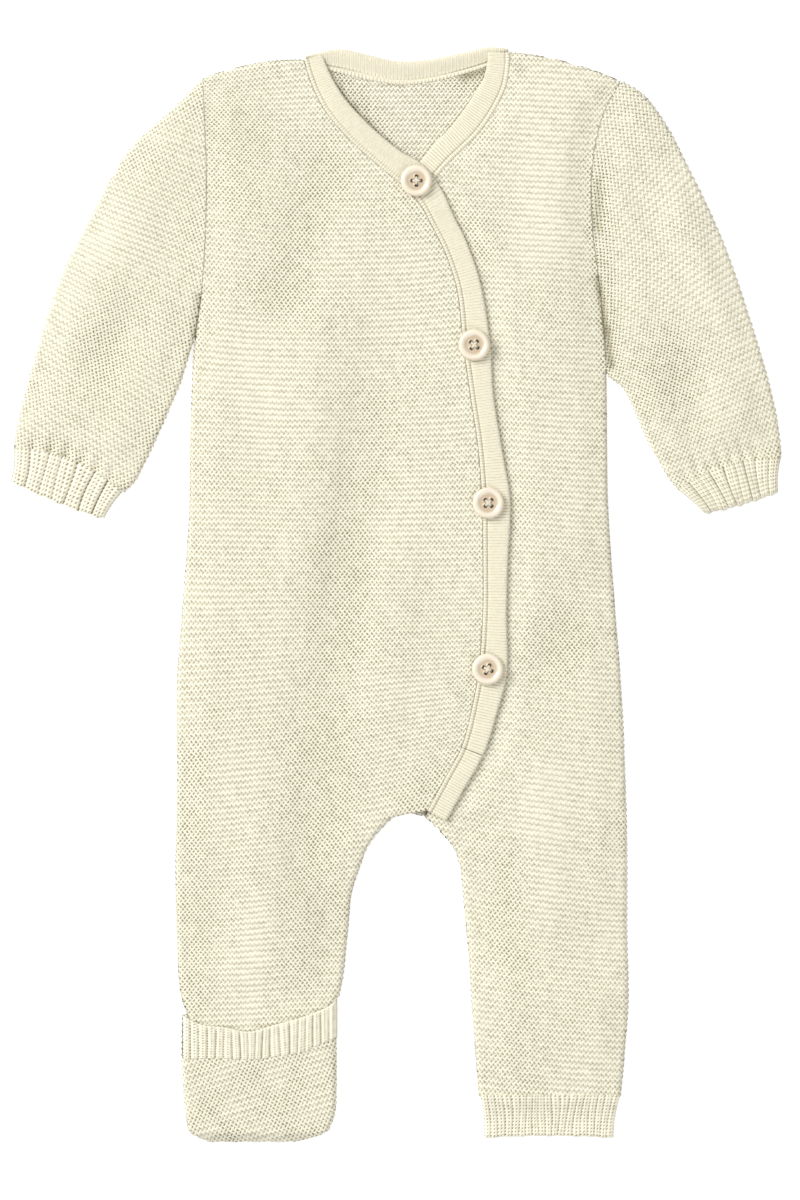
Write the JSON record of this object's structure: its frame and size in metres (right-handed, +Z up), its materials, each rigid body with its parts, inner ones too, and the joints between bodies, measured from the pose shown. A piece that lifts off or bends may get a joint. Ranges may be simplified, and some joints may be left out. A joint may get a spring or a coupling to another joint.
{
  "type": "baby romper",
  "caption": "Cream knitted baby romper laid flat, with a curved button placket, rib cuffs and foot covers that turn over.",
  "frame": {"origin": "the middle of the garment as it lies, on the surface under it", "axes": "+Z up from the surface, +Y toward the neck, +X toward the wearer's left side"},
  "size_m": [0.4352, 0.618, 0.0105],
  "materials": {
    "garter_knit": "matte cream garter stitch wool",
    "rib_knit": "matte cream rib knit wool",
    "band_knit": "matte fine cream knitted edging",
    "buttons": "satin pale nut buttons"
  },
  "bodies": {
    "root": {"back": "garter_knit", "right_front": "garter_knit", "left_front": "garter_knit", "placket_band": "band_knit", "placket_end": "band_knit", "left_neckband": "band_knit", "back_neckband": "band_knit", "right_sleeve": "garter_knit", "left_sleeve": "garter_knit", "right_sleeve_cuff": "rib_knit", "left_sleeve_cuff": "rib_knit", "right_leg_cuff": "rib_knit", "left_leg_cuff": "rib_knit", "right_foot_cover": "garter_knit", "right_foot_cover_rib": "rib_knit", "left_foot_cover": "garter_knit", "left_foot_cover_rib": "rib_knit", "button_1": "buttons", "button_2": "buttons", "button_3": "buttons", "button_4": "buttons"}
  },
  "joints": []
}
